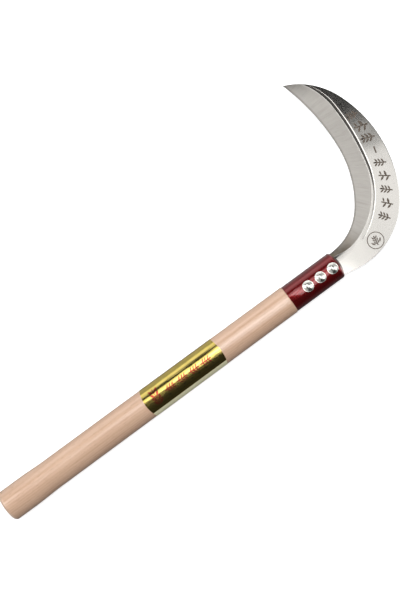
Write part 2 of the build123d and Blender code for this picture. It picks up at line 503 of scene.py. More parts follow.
STATIONS = 190
TANG_STATIONS = 8
EXIT_SHARE = 0.926
APART = 0.02 * MM
BEVEL_SHARES = (0.0, 0.14, 0.28, 0.42, 0.56, 0.7, 0.84, 1.0)
GROOVE_SHARES = (0.25, 0.5, 0.75)
FLAT_SHARES = (0.06, 0.15, 0.27, 0.4, 0.53, 0.66, 0.79, 0.9, 0.985, 1.0)
BACK_ANGLES = (22.5, 45.0, 67.5, 90.0)
LARGE_MARK = 1.15


class Section:
    """The blade's top across one station, from the edge to the back."""

    def __init__(self, blade, t, guesses):
        edge, back, shoulder, groove = BLADE_LINES
        self.blade = blade
        self.share = t
        self.edge = edge.at(max(t, 0))[0]
        self.back = back.beside(max(t, 0), -blade.back_inset)
        if t < 0:
            self.edge = self.edge.lerp(Vector((BLADE_LOW.x, TANG_HALF_W)), -t)
            self.back = self.back.lerp(Vector((BLADE_LOW.x, -TANG_HALF_W)), -t)
        self.width = (self.back - self.edge).length
        self.across = (self.back - self.edge) / self.width
        if t < 0:
            self.shoulder, self.groove = 0.2 * self.width, 0.5 * self.width
        else:
            self.shoulder, guesses["shoulder"] = shoulder.crossing(self.edge, self.across, guesses["shoulder"])
            self.groove, guesses["groove"] = groove.crossing(self.edge, self.across, guesses["groove"])
        self.ground = smooth((self.edge.x - ROOT_X) / (BEVEL_ROOT_X - ROOT_X)) if t >= 0 else 0.0
        x = self.edge.x + self.across.x * self.groove
        started = smooth((x - GROOVE_START_X + 1.5 * MM) / (5 * MM)) if t < 0.5 else 1.0
        self.struck = started if t >= 0 else 0.0

    def rows(self):
        """The places across, each (distance from the edge, height, kind of surface)."""
        blade = self.blade
        top = BLADE_HIGH.z
        low = BLADE_LOW.z + blade.edge_land
        rounding = min(blade.back_rounding, 0.2 * self.width)
        end = self.width - rounding
        full = max(self.shoulder, 1e-6)
        micro = min(blade.micro_bevel, 0.3 * self.width)
        ridge = min(blade.ridge_width, 0.3 * full)
        turn = min(full, end) - ridge / 2

        def bevel_height(distance):
            share = distance / full
            chord = blend(low, top, min(share, 1.0))
            dish = blade.hollow * 4 * share * (1 - share) if share < 1 else 0
            return chord - dish

        micro_height = bevel_height(micro)
        rows = [(0.0, low, "micro"), (micro * 0.5, blend(low, micro_height, 0.5), "micro")]
        for share in BEVEL_SHARES:
            distance = blend(micro, turn, share)
            rows.append((distance, bevel_height(distance), "bevel"))
        groove_in = min(self.groove, end - 6 * APART)
        ridge_end = min(turn + ridge, blend(turn, max(groove_in, turn), 0.6))
        ridge_end = min(max(ridge_end, turn + APART), end - 8 * APART) if turn < end - 9 * APART else turn + APART
        rise = min(bevel_height(end), top)
        rows.append(((turn + ridge_end) / 2, blend(bevel_height(turn), rise, 0.62), "ridge"))
        rows.append((ridge_end, rise, "ridge"))
        groove_in = max(groove_in, ridge_end + APART)
        room = max(end - APART - groove_in, 4 * APART)
        groove_width = min(blade.groove_width, room)
        rows.append((groove_in, rise, "flat"))
        for share in GROOVE_SHARES:
            depth = blade.groove_depth * self.struck * math.sin(math.pi * share) * groove_width / blade.groove_width
            rows.append((groove_in + groove_width * share, rise - depth, "groove"))
        rows.append((groove_in + groove_width, rise, "groove"))
        flat_from = groove_in + groove_width
        for share in FLAT_SHARES:
            rows.append((blend(flat_from, max(end, flat_from + APART), share), rise, "flat"))
        last = rows[-1][0]
        for angle in BACK_ANGLES:
            turned_by = math.radians(angle)
            out = last + (self.width - last) * math.sin(turned_by)
            rows.append((out, rise - rounding * (1 - math.cos(turned_by)), "flat"))
        if self.ground < 1:
            rows = [(d, blend(top, z, self.ground) if kind in ("micro", "bevel") else z, kind) for d, z, kind in rows]
        return rows

    def point(self, distance, height):
        spot = self.edge + self.across * distance
        return Vector((spot.x, spot.y, height))


BLADE_LINES = [Line(*line, ROOT_X) for line in (EDGE_LINE, BACK_LINE, SHOULDER_LINE, GROOVE_LINE)]
KINDS = {"flat": 0, "bevel": 1, "micro": 1, "ridge": 2, "groove": 3}


def blade_sections(blade):
    """Every station's section, tang first."""
    guesses = {"shoulder": 0.0, "groove": 0.02}
    shares = [-1 + i / TANG_STATIONS for i in range(TANG_STATIONS)]
    shares += [i / STATIONS for i in range(STATIONS)] + [0.9985]
    return [Section(blade, t, guesses) for t in shares]


def blade_mesh(blade):
    """The blade: a grid laid on its sections, thickened down to its flat back."""
    sections = blade_sections(blade)
    table = [section.rows() for section in sections]
    count_across = len(table[0])
    bm = bmesh.new()
    bmesh.ops.create_grid(
        bm, x_segments=len(sections) - 1, y_segments=count_across - 1, size=0.5, calc_uvs=False
    )
    uv_layer = bm.loops.layers.uv.new(UV_NAME)
    station_of, row_of = {}, {}
    for vert in bm.verts:
        station = round((vert.co.x + 0.5) * (len(sections) - 1))
        row = round((vert.co.y + 0.5) * (count_across - 1))
        station_of[vert], row_of[vert] = station, row
    along = [0.0]
    for first, second in zip(sections, sections[1:]):
        middle_a = (first.edge + first.back) / 2
        middle_b = (second.edge + second.back) / 2
        along.append(along[-1] + (middle_b - middle_a).length)
    for face in bm.faces:
        nearest = min(row_of[vert] for vert in face.verts)
        kind = table[0][nearest + 1][2]
        station = min(station_of[vert] for vert in face.verts)
        plain = kind == "groove" and sections[station].struck < 0.05
        face.material_index = KINDS["flat" if plain else kind]
        for loop in face.loops:
            station, row = station_of[loop.vert], row_of[loop.vert]
            loop[uv_layer].uv = (along[station], table[station][row][0])
    for vert in bm.verts:
        distance, height, kind = table[station_of[vert]][row_of[vert]]
        vert.co = sections[station_of[vert]].point(distance, height)
    top_faces = list(bm.faces)
    made = bmesh.ops.extrude_face_region(bm, geom=top_faces)["geom"]
    for item in made:
        if isinstance(item, bmesh.types.BMVert):
            item.co.z = BLADE_LOW.z
    for item in made:
        if isinstance(item, bmesh.types.BMFace):
            item.material_index = 0
    return bm


def polished_steel(blade):
    """Polished flat: satin steel with soft waves, fine lengthwise haze and small stains."""
    steel = new_finish("polished_steel")
    spot = steel.place()
    haze = steel.noise(steel.uv((90, 1500, 1)), 1.0, 3.0)
    cloud = steel.noise(steel.place((30, 30, 30)), 1.0, 4.0, 0.6)
    wave = steel.noise(steel.place((16, 16, 16), (0.3, 0.1, 0)), 1.0, 1.5)
    speck = steel.noise(steel.place((900, 900, 900)), 1.0, 2.0, 0.7)
    tone = (cloud - 0.5) * 0.5 + (haze - 0.5) * 0.25 + 0.5
    base = steel.ramp(tone.clamp(), (0.25, tuple(c * 0.9 for c in blade.polished)), (0.75, blade.polished))
    along = steel.node("ShaderNodeSeparateXYZ", {}, {0: steel.uv()}, 0)
    base = steel.mix((1 - along.above(0.115, 0.07)) * 0.8, base, tuple(c * 0.74 for c in blade.polished))
    steel.surface(
        Base_Color=steel.mix(speck.above(0.66, 0.06) * 0.35, base, tuple(c * 0.55 for c in blade.polished)),
        Metallic=1.0,
        Roughness=(haze - 0.5) * 0.06 + (cloud - 0.5) * 0.05 + 0.115,
        Normal=steel.bump(wave * 0.7 + haze * 0.0006, 0.6, 0.0012),
    )
    return steel


def ground_steel(blade):
    """Ground bevel: grinding scratches across it, with a honed strip along the edge."""
    steel = new_finish("ground_steel")
    scratch = steel.noise(steel.uv((2600, 70, 1)), 1.0, 4.0, 0.65)
    band = steel.noise(steel.uv((260, 20, 1)), 1.0, 3.0, 0.6)
    cloud = steel.noise(steel.place((26, 26, 26)), 1.0, 4.0, 0.6)
    tone = ((scratch - 0.5) * 0.75 + (band - 0.5) * 0.4 + (cloud - 0.5) * 0.3 + 0.5).clamp()
    dark = tuple(c * 0.72 for c in blade.ground)
    light = tuple(min(c * 1.16, 1) for c in blade.ground)
    base = steel.ramp(tone, (0.2, dark), (0.5, blade.ground), (0.85, light))
    across = steel.node("ShaderNodeSeparateXYZ", {}, {0: steel.uv()}, 1)
    honed = 1 - across.above(blade.micro_bevel, 0.3 * MM)
    along = steel.node("ShaderNodeSeparateXYZ", {}, {0: steel.uv()}, 0)
    heel = (1 - along.above(0.074, 0.024)) * cloud.above(0.42, 0.3)
    base = steel.mix(heel * 0.85, base, (0.14, 0.095, 0.045))
    steel.surface(
        Base_Color=steel.mix(honed * 0.6, base, tuple(c * 0.5 for c in blade.ground)),
        Metallic=1.0,
        Roughness=(scratch - 0.5) * 0.16 + 0.42,
        Normal=steel.bump(scratch * 0.02 + band * 0.03, 0.5, 0.001),
    )
    return steel


def bright_steel(blade):
    """The shoulder's burnished ridge."""
    steel = new_finish("bright_steel")
    grain = steel.noise(steel.uv((400, 4000, 1)), 1.0, 3.0)
    light = tuple(min(c * 1.1, 1) for c in blade.polished)
    steel.surface(
        Base_Color=steel.ramp(grain, (0.3, tuple(c * 0.7 for c in blade.polished)), (0.7, light)),
        Metallic=1.0,
        Roughness=grain * 0.1 + 0.33,
        Normal=steel.bump(grain, 0.3, 0.00003),
    )
    return steel


def struck_steel(blade):
    """The struck line: dull steel with painted shade in the groove, dark towards the tip and fading towards the heel.
    """
    steel = new_finish("struck_steel")
    along = steel.node("ShaderNodeSeparateXYZ", {}, {0: steel.uv()}, 0)
    groove_mottle = steel.noise(steel.uv((300, 600, 1)), 1.0, 4.0, 0.6)
    # Painted shade: the groove is coloured dark from the middle of the blade to the tip, fading out towards the heel.
    fade = along.above(0.115, 0.05)
    dark = (0.028, 0.02, 0.014)
    painted_shade = fade * (groove_mottle * 0.3 + 0.8)
    steel.surface(
        Base_Color=steel.mix(painted_shade.clamp(), tuple(c * 0.75 for c in blade.polished), dark),
        Metallic=1 - fade * 0.85,
        Roughness=fade * 0.2 + groove_mottle * 0.2 + 0.3,
        Normal=steel.bump(groove_mottle, 0.3, 0.00005),
    )
    return steel


def etched_ink(blade):
    """Etched ornament: dark, dull and slightly broken."""
    etched = new_finish("etched_ink")
    grain = etched.noise(etched.place((2500, 2500, 2500)), 1.0, 3.0, 0.7)
    lighter = tuple(min(c * 3.6, 1) for c in blade.mark)
    etched.surface(
        Base_Color=etched.ramp(grain, (0.4, blade.mark), (0.62, lighter)),
        Metallic=0.1,
        Roughness=grain * 0.2 + 0.5,
        Normal=etched.bump(grain, 0.4, 0.00003),
    )
    return etched


def flat_shape(bm, outline_scale, place, segments=16, pointed=True):
    """A small disc made long and narrow, pointed like a leaf if asked, and put on a place."""
    disc = bmesh.ops.create_circle(bm, cap_ends=True, segments=segments, radius=1.0)["verts"]
    for vert in disc:
        if pointed:
            vert.co.y *= 1 - 0.55 * vert.co.x**2
        vert.co.x *= outline_scale[0]
        vert.co.y *= outline_scale[1]
    bmesh.ops.transform(bm, matrix=place, verts=disc)
    return disc


def bar_shape(bm, length_and_width, place, pieces=6):
    """A thin bar in pieces, so that it can be bent, put on a place."""
    grid = bmesh.ops.create_grid(bm, x_segments=pieces, y_segments=1, size=0.5)["verts"]
    bmesh.ops.scale(bm, vec=(length_and_width[0], length_and_width[1], 1), verts=grid)
    bmesh.ops.transform(bm, matrix=place, verts=grid)
    return grid


def on_plane(x, y, turn=0.0):
    """A place on the XY plane, turned in degrees."""
    return Matrix.Translation((x, y, 0)) @ Matrix.Rotation(math.radians(turn), 4, "Z")


def wheat_ear(bm, size, place, pairs=3, lean=50.0):
    """A stem with pairs of grains and one at the top, along +X of its place."""
    bar_shape(bm, (size * 0.92, size * 0.1), place, 3)
    for index in range(pairs):
        x = size * (-0.24 + 0.25 * index)
        for side in (-1, 1):
            local = Matrix.Translation((x + size * 0.1, side * size * 0.17, 0))
            flat_shape(bm, (size * 0.18, size * 0.07), place @ local @ on_plane(0, 0, side * lean), 10)
    flat_shape(bm, (size * 0.13, size * 0.07), place @ on_plane(size * 0.46, 0), 10)


def leaf_sprig(bm, size, place):
    """A stem with three broad leaves on alternate sides."""
    bar_shape(bm, (size * 0.95, size * 0.1), place, 3)
    for x, side, scale in ((-0.3, 1, 1.0), (-0.12, -1, 1.1), (0.1, 1, 1.0), (0.26, -1, 0.8)):
        local = Matrix.Translation((x * size + size * 0.08, side * size * 0.2, 0))
        leaf = place @ local @ on_plane(0, 0, side * 62.0)
        flat_shape(bm, (size * 0.22 * scale, size * 0.085 * scale), leaf, 10)


def thicken(bm, height):
    """Gives flat shapes a thickness upwards."""
    made = bmesh.ops.extrude_face_region(bm, geom=list(bm.faces))["geom"]
    raised = [item for item in made if isinstance(item, bmesh.types.BMVert)]
    bmesh.ops.translate(bm, vec=(0, 0, height), verts=raised)


def marks_mesh(blade):
    """Nine small sprigs and a ringed wheat ear on the flat of the blade."""
    sections = {section.share: section for section in blade_sections(blade)}
    shares = sorted(share for share in sections if share >= 0)
    bm = bmesh.new()

    def spot(share, offset=0.0):
        section = sections[min(shares, key=lambda s: abs(s - share))]
        inner = section.groove + blade.groove_width
        distance = blend(inner, section.width, 0.5 + offset)
        return section.point(distance, 0), section.across

    for index in range(blade.mark_count):
        share = blend(blade.marks_from, blade.marks_to, index / (blade.mark_count - 1))
        centre, across = spot(share)
        facing = math.degrees(math.atan2(across.y, across.x)) + 180
        place = on_plane(centre.x, centre.y, facing)
        size = blade.mark_size * (LARGE_MARK if index in (1, 2) else 1)
        if index == 3:
            bar_shape(bm, (blade.mark_size * 0.12, blade.mark_size * 0.55), place @ on_plane(0, 0, 12), 2)
        elif index % 2:
            leaf_sprig(bm, size, place)
        else:
            wheat_ear(bm, size, place)
    centre_x, centre_y = blade.ring_x, blade.ring_y
    ring = bmesh.ops.create_circle(bm, cap_ends=False, segments=48, radius=blade.ring_radius)["verts"]
    bmesh.ops.translate(bm, vec=(centre_x, centre_y, 0), verts=ring)
    ring_edges = [edge for edge in bm.edges if edge.verts[0] in ring and edge.verts[1] in ring]
    inner = bmesh.ops.extrude_edge_only(bm, edges=ring_edges)["geom"]
    inner_verts = [item for item in inner if isinstance(item, bmesh.types.BMVert)]
    share = 1 - 0.75 * MM / blade.ring_radius
    around = Matrix.Translation((centre_x, centre_y, 0))
    bmesh.ops.scale(bm, vec=(share, share, 1), space=around.inverted(), verts=inner_verts)
    wheat_ear(bm, blade.ring_radius * 1.15, on_plane(centre_x, centre_y - 0.6 * MM, 82), pairs=3, lean=34)
    for side in (-1, 1):
        leaf = on_plane(centre_x + side * 3.6 * MM, centre_y - 1.6 * MM, 90 + side * -38)
        flat_shape(bm, (2.2 * MM, 0.75 * MM), leaf, 10)
    thicken(bm, blade.mark_height)
    bmesh.ops.translate(bm, vec=(0, 0, BLADE_HIGH.z - 0.004 * MM), verts=bm.verts)
    return bm


class SICKLE_OT_blade(bpy.types.Operator):
    """Builds the crescent blade with its bevel, ridge, groove and tang"""

    bl_idname = "sickle.blade"
    bl_label = "Blade"

    def execute(self, context):
        blade = context.scene.sickle_blade
        finishes = [polished_steel(blade), ground_steel(blade), bright_steel(blade), struck_steel(blade)]
        holes = rivet_holes(context.scene.sickle_rivets.hole_radius)
        finish_piece("blade_steel", blade_mesh(blade), finishes, ["blade"], [holes], 24.0)
        return {"FINISHED"}


class SICKLE_OT_marks(bpy.types.Operator):
    """Lays the etched sprigs and the ringed wheat ear on the flat of the blade"""

    bl_idname = "sickle.marks"
    bl_label = "Etched marks"

    def execute(self, context):
        blade = context.scene.sickle_blade
        finish_piece("blade_marks", marks_mesh(blade), [etched_ink(blade)])
        return {"FINISHED"}


# ---------------------------------------------------------------- handle


def handle_radius(wood, x):
    """The handle's radius on its long taper."""
    return blend(wood.grip_radius, wood.front_radius, (x - wood.grip_x) / (wood.front_x - wood.grip_x))


def handle_profile(wood):
    butt_r = HANDLE_HIGH.z
    rounding = wood.butt_rounding
    profile = [(0.0, 0.0), (0.0, 0.35 * butt_r), (0.0, 0.6 * butt_r)]
    profile += arc_points((rounding, butt_r - rounding), rounding, 180, 90, 10)
    for i in range(13):
        x = blend(wood.swell_end, wood.neck_x, i / 12)
        profile.append((x, blend(butt_r, wood.neck_radius, smooth(i / 12))))
    shoulder_x = wood.front_x - wood.front_chamfer
    for x in (wood.grip_x, blend(wood.grip_x, shoulder_x, 0.5), shoulder_x):
        profile.append((x, handle_radius(wood, x)))
    end_x = HANDLE_HIGH.x
    profile.append((wood.front_x, wood.front_radius - wood.front_chamfer))
    profile.append((wood.front_x, wood.tenon_radius))
    profile.append((end_x - 1 * MM, wood.tenon_radius))
    profile.append((end_x, wood.tenon_radius - 1 * MM))
    profile.append((end_x, 0.0))
    return profile


def pale_wood(wood):
    """Varnished pale wood: growth lines along the handle, short flecks and rings at the butt."""
    timber = new_finish("pale_wood")
    drift = timber.noise(timber.place((3.2, 14, 14)), 1.0, 2.0)
    offset = timber.place((1, 1, 1), (0, 0.11, 0.045))
    height = timber.node("ShaderNodeSeparateXYZ", {}, {0: offset}, 1)
    depth = timber.node("ShaderNodeSeparateXYZ", {}, {0: offset}, 2)
    radius = (height * height + depth * depth) ** 0.5
    rings = ((radius + drift * 0.006) * 2900).math("SINE") * 0.5 + 0.5
    grain = timber.noise(timber.place((22, 620, 620)), 1.0, 4.0, 0.62)
    fleck = timber.noise(timber.place((210, 2400, 2400)), 1.0, 2.0, 0.5)
    cloud = timber.noise(timber.place((9, 40, 40)), 1.0, 3.0)
    tone = (rings * 0.32 + (grain - 0.5) * 1.4 + (cloud - 0.5) * 0.9 + 0.32).clamp()
    base = timber.ramp(tone, (0.1, wood.pale), (0.55, tuple(blend(a, b, 0.4) for a, b in zip(wood.pale, wood.dark))), (0.95, wood.dark))
    pores = fleck.above(0.645, 0.05)
    timber.surface(
        Base_Color=timber.mix(pores * 0.5, base, wood.pore),
        Roughness=(grain - 0.5) * 0.2 + pores * 0.1 + 0.42,
        Coat_Weight=0.95 - pores * 0.4,
        Coat_Roughness=0.2,
        Coat_IOR=1.7,
        Normal=timber.bump(grain * 0.5 - pores * 0.5 + cloud * 0.6, 0.25, 0.00012),
    )
    return timber


class SICKLE_OT_handle(bpy.types.Operator):
    """Turns the wooden handle with its swelled butt and slotted tenon"""

    bl_idname = "sickle.handle"
    bl_label = "Handle"

    def execute(self, context):
        wood = context.scene.sickle_handle
        kerf = block(
            (wood.kerf_x, -15 * MM, -wood.kerf_width / 2), (HANDLE_HIGH.x + 1 * MM, 15 * MM, wood.kerf_width / 2)
        )
        holes = rivet_holes(context.scene.sickle_rivets.hole_radius)
        body = turned(handle_profile(wood), X_AXIS, 96)
        finish_piece("handle_wood", body, [pale_wood(wood)], ["handle"], [kerf, holes])
        return {"FINISHED"}


# ---------------------------------------------------------------- ferrule


def ferrule_profile(cap):
    radius = FERRULE_HIGH.z
    inner_r = radius - cap.wall
    start_x = FERRULE_LOW.x
    centre_x = cap.front_x - cap.dome_radius
    corner_r = radius - cap.rim_rounding
    reach = cap.dome_radius - cap.rim_rounding
    corner = (centre_x + math.sqrt(reach**2 - corner_r**2), corner_r)
    edge_angle = math.degrees(math.asin(corner_r / reach))
    lip = cap.mouth_rounding
    inside = arc_points((centre_x, 0), cap.dome_radius - cap.wall, 0, edge_angle, 8)
    inside += arc_points(corner, cap.rim_rounding - cap.wall, edge_angle, 90, 5)
    inside += arc_points((start_x + lip, inner_r + lip), lip, 270, 180, 3)
    outside = arc_points((start_x + lip, radius - lip), lip, 180, 90, 3)
    outside += [(blend(start_x, corner[0], share), radius) for share in (0.25, 0.5, 0.75)]
    outside += arc_points(corner, cap.rim_rounding, 90, edge_angle, 7)
    outside += arc_points((centre_x, 0), cap.dome_radius, edge_angle, 0, 10)[1:]
    return inside + outside


def red_lacquer(cap):
    """Clear red lacquer over steel: deep and glossy, with orange peel and rubbed spots."""
    lacquer = new_finish("red_lacquer")
    peel = lacquer.noise(lacquer.place((420, 420, 420)), 1.0, 2.0)
    dent = lacquer.noise(lacquer.place((70, 110, 110)), 1.0, 2.0)
    cloud = lacquer.noise(lacquer.place((120, 120, 120)), 1.0, 4.0, 0.6)
    rub = lacquer.noise(lacquer.place((700, 700, 700)), 1.0, 4.0, 0.7)
    base = lacquer.ramp(cloud, (0.3, tuple(c * 0.8 for c in cap.lacquer)), (0.7, cap.lacquer))
    worn = rub.above(0.7, 0.04)
    lacquer.surface(
        Base_Color=lacquer.mix(worn * 0.5, base, cap.steel),
        Metallic=0.75,
        Roughness=(cloud - 0.5) * 0.12 + 0.28,
        Coat_Weight=1 - worn * 0.5,
        Coat_Roughness=0.07,
        Coat_IOR=1.54,
        Normal=lacquer.bump(peel * 0.05 + dent, 0.3, 0.0006),
    )
    return lacquer


class SICKLE_OT_ferrule(bpy.types.Operator):
    """Builds the red ferrule with its domed front, slot and rivet holes"""

    bl_idname = "sickle.ferrule"
    bl_label = "Ferrule"

    def execute(self, context):
        cap = context.scene.sickle_ferrule
        slot = block(
            (cap.slot_x, cap.slot_bottom, -cap.slot_width / 2), (cap.front_x + 1 * MM, cap.slot_top, cap.slot_width / 2)
        )
        holes = rivet_holes(context.scene.sickle_rivets.hole_radius)
        body = turned(ferrule_profile(cap), X_AXIS, 96)
        finish_piece("ferrule_red", body, [red_lacquer(cap)], ["ferrule"], [slot, holes])
        return {"FINISHED"}


# ---------------------------------------------------------------- rivets


def plated_nickel(rivets, name):
    """Bright plating with faint swirls, small pits and dulled spots."""
    plating = new_finish(name)
    swirl = plating.noise(plating.place((500, 500, 500)), 1.0, 3.0)
    pit = plating.noise(plating.place((1800, 1800, 1800)), 1.0, 2.0, 0.7)
    pits = pit.above(0.66, 0.05)
    base = plating.ramp(swirl, (0.3, tuple(c * 0.9 for c in rivets.nickel)), (0.7, rivets.nickel))
    plating.surface(
        Base_Color=plating.mix(pits * 0.5, base, tuple(c * 0.5 for c in rivets.nickel)),
        Metallic=1.0,
        Roughness=(swirl - 0.5) * 0.12 + pits * 0.1 + 0.26,
        Normal=plating.bump(swirl - pits * 0.2, 0.25, 0.00015),
    )
    return plating


def head_points(rivets, seat, side):
    """Half a domed head's section from its shank to its top, as (along, radius)."""
    rim = seat + rivets.head_rim
    sphere = (rivets.head_radius**2 + rivets.head_dome**2) / (2 * rivets.head_dome)
    centre = rim + rivets.head_dome - sphere
    widest = math.degrees(math.asin(rivets.head_radius / sphere))
    points = [(seat, rivets.shank_radius), (seat, 0.75 * rivets.head_radius), (seat, 0.97 * rivets.head_radius)]
    points += [(seat + 0.02 * MM, rivets.head_radius)]
    points += arc_points((centre, 0), sphere, widest, 0, 9)
    return [(side * along, radius) for along, radius in points]


def rivet_mesh(rivets, x):
    """A rivet through the ferrule, its heads hollowed under to sit on round seats."""
    front_seat = FERRULE_HIGH.z + rivets.washer_thickness + 2 * rivets.lift
    back_seat = FERRULE_HIGH.z + rivets.lift
    profile = list(reversed(head_points(rivets, back_seat, -1))) + head_points(rivets, front_seat, 1)
    bm = turned(profile, Z_AXIS, 48)
    for vert in bm.verts:
        radius = math.hypot(vert.co.x, vert.co.y)
        seat = front_seat if vert.co.z > 0 else back_seat
        on_seat = abs(abs(vert.co.z) - seat) < 0.03 * MM and radius > rivets.shank_radius * 0.99
        if on_seat:
            drop = seat - math.sqrt(seat**2 - vert.co.y**2)
            vert.co.z -= math.copysign(drop, vert.co.z)
    bmesh.ops.translate(bm, vec=(x, 0, 0), verts=bm.verts)
    return bm


def washer_mesh(rivets, x):
    """A flat washer bent to the ferrule's round."""
    bore = rivets.hole_radius
    outer = rivets.washer_radius
    thick = rivets.washer_thickness
    chamfer = 0.15 * MM
    profile = [(0, bore), (0, outer - chamfer), (chamfer, outer), (thick - chamfer, outer)]
    profile += [(thick, outer - chamfer), (thick, bore)]
    bm = turned(profile, Z_AXIS, 64, closed=True)
    sunk = FERRULE_HIGH.z + rivets.lift
    for vert in bm.verts:
        vert.co.z = math.sqrt((sunk + vert.co.z) ** 2 - vert.co.y**2)
    bmesh.ops.translate(bm, vec=(x, 0, 0), verts=bm.verts)
    return bm


class SICKLE_OT_rivets(bpy.types.Operator):
    """Closes three plated rivets over their washers"""

    bl_idname = "sickle.rivets"
    bl_label = "Rivets and washers"

    def execute(self, context):
        rivets = context.scene.sickle_rivets
        bright = plated_nickel(rivets, "plated_nickel")
        for place, x in RIVET_XS.items():
            finish_piece(f"rivet_nickel_{place}", rivet_mesh(rivets, x), [bright], [f"rivet_{place}"])
            ring = washer_mesh(rivets, x)
            finish_piece(f"washer_nickel_{place}", ring, [bright], [f"washer_{place}"])
        return {"FINISHED"}


# ---------------------------------------------------------------- label


PRINT_CUTS = 25
PRINT_STEP = 0.45 * MM


def print_on_handle(bm, foil, wood):
    """Slices flat shapes finely enough to follow the foil, thickens them and lays them on it."""
    for index in range(-PRINT_CUTS, PRINT_CUTS + 1):
        geom = list(bm.verts) + list(bm.edges) + list(bm.faces)
        bmesh.ops.bisect_plane(bm, geom=geom, plane_co=(0, index * PRINT_STEP, 0), plane_no=(0, 1, 0))
    thicken(bm, foil.print_thickness)
    wrap_on_handle(bm, wood, foil.lift + foil.thickness - 0.004 * MM)


def wrap_on_handle(bm, wood, lift):
    """Bends flat shapes (x along, y round, z up) round the handle's long taper."""
    for vert in bm.verts:
        radius = handle_radius(wood, vert.co.x) + lift
        angle = vert.co.y / radius
        radius += vert.co.z
        vert.co = (vert.co.x, radius * math.sin(angle), radius * math.cos(angle))


def foil_mesh(foil, wood):
    """A sheet with bowed ends, thickened and wrapped round the handle."""
    start_x, end_x = LABEL_LOW.x, LABEL_HIGH.x
    radius = handle_radius(wood, (start_x + end_x) / 2)
    half_round = radius * foil.wrap / 2
    bm = bmesh.new()
    bmesh.ops.create_grid(bm, x_segments=56, y_segments=64, size=0.5)
    uv_layer = bm.loops.layers.uv.new(UV_NAME)
    for vert in bm.verts:
        around = vert.co.y * 2 * half_round
        plan_y = radius * math.sin(around / radius)
        bow = foil.bow_radius - math.sqrt(foil.bow_radius**2 - plan_y**2)
        vert.co = (blend(start_x + bow, end_x - bow, vert.co.x + 0.5), around, 0)
    for face in bm.faces:
        for loop in face.loops:
            loop[uv_layer].uv = (loop.vert.co.x - start_x, loop.vert.co.y)
    thicken(bm, foil.thickness)
    wrap_on_handle(bm, wood, foil.lift)
    return bm


def gold_foil(foil):
    """Crinkled gold foil with tarnished patches, and a painted reflection of the pale floor as a dull pale band on its
    -Y side.
    """
    gold = new_finish("gold_foil")
    crease = gold.noise(gold.uv((60, 420, 1)), 1.0, 3.0, 0.55)
    ripple = gold.noise(gold.uv((26, 130, 1)), 1.0, 2.0)
    speck = gold.noise(gold.place((1400, 1400, 1400)), 1.0, 3.0, 0.7)
    cloud = gold.noise(gold.uv((90, 160, 1)), 1.0, 4.0, 0.6)
    base = gold.ramp(cloud, (0.3, tuple(c * 0.82 for c in foil.gold)), (0.7, foil.gold))
    across = gold.node("ShaderNodeSeparateXYZ", {}, {0: gold.uv()}, 1)
    # Painted reflection: from this arc to the foil's -Y edge the foil is coloured pale and made dull, standing in for
    # the floor mirrored in it.
    rim_reflection = 1 - across.above(-foil.rim_reflection_from, 0.5 * MM)
    specked = gold.mix(speck.above(0.68, 0.05) * 0.35, base, foil.print_black)
    gold.surface(
        Base_Color=gold.mix(rim_reflection, specked, foil.rim_reflection),
        Metallic=1 - rim_reflection * 0.85,
        Roughness=(cloud - 0.5) * 0.1 + rim_reflection * 0.3 + 0.16,
        Normal=gold.bump(crease * 0.35 + ripple, 0.35, 0.0007),
    )
    return gold


def printed(name, tint):
    """Printed colour on the foil, worn through in small spots."""
    ink = new_finish(name)
    wear = ink.noise(ink.place((1300, 1300, 1300)), 1.0, 3.0, 0.65)
    lighter = tuple(blend(c, 0.6, 0.2) for c in tint)
    ink.surface(
        Base_Color=ink.ramp(wear, (0.5, tint), (0.72, lighter)),
        Metallic=0.92,
        Roughness=wear * 0.12 + 0.12,
        Normal=ink.bump(wear, 0.3, 0.00004),
    )
    return ink


def red_print_mesh(foil, wood):
    """A red branch of leaves across the butt end of the foil and ears of wheat along its front."""
    bm = bmesh.new()
    start = LABEL_LOW.x
    for side in (-1, 1):
        for index in range(4):
            leaf = on_plane(start + (12.4 + 2.6 * side) * MM, (6.8 - 3.6 * index) * MM, 90 - side * 38)
            flat_shape(bm, (2.9 * MM, 1.15 * MM), leaf, 14)
    bar_shape(bm, (16 * MM, 0.8 * MM), on_plane(start + 12.4 * MM, 1.2 * MM, 90), 2)
    for index in range(4):
        wheat_ear(bm, 11.0 * MM, on_plane(start + (27 + 13.0 * index) * MM, 0.6 * MM, 0), pairs=3)
    print_on_handle(bm, foil, wood)
    return bm


def dark_print_mesh(foil, wood):
    """Border lines round the foil and a row of small dashes."""
    bm = bmesh.new()
    middle = (LABEL_LOW.x + LABEL_HIGH.x) / 2
    long = LABEL_HIGH.x - LABEL_LOW.x - 14 * MM
    for y in (-7.2 * MM, 7.6 * MM):
        bar_shape(bm, (long, 0.35 * MM), on_plane(middle, y), 40)
    for index in range(7):
        flat_shape(bm, (1.5 * MM, 0.5 * MM), on_plane(LABEL_LOW.x + (24 + 8 * index) * MM, -4.6 * MM), 10)
    print_on_handle(bm, foil, wood)
    return bm


class SICKLE_OT_label(bpy.types.Operator):
    """Wraps the gold foil label and its print round the handle"""

    bl_idname = "sickle.label"
    bl_label = "Label"

    def execute(self, context):
        foil = context.scene.sickle_label
        wood = context.scene.sickle_handle
        finish_piece("label_foil", foil_mesh(foil, wood), [gold_foil(foil)], ["label"])
        red = printed("red_print", foil.print_red)
        dark = printed("dark_print", foil.print_black)
        finish_piece("label_print_red", red_print_mesh(foil, wood), [red])
        finish_piece("label_print_dark", dark_print_mesh(foil, wood), [dark])
        return {"FINISHED"}


# ---------------------------------------------------------------- stage


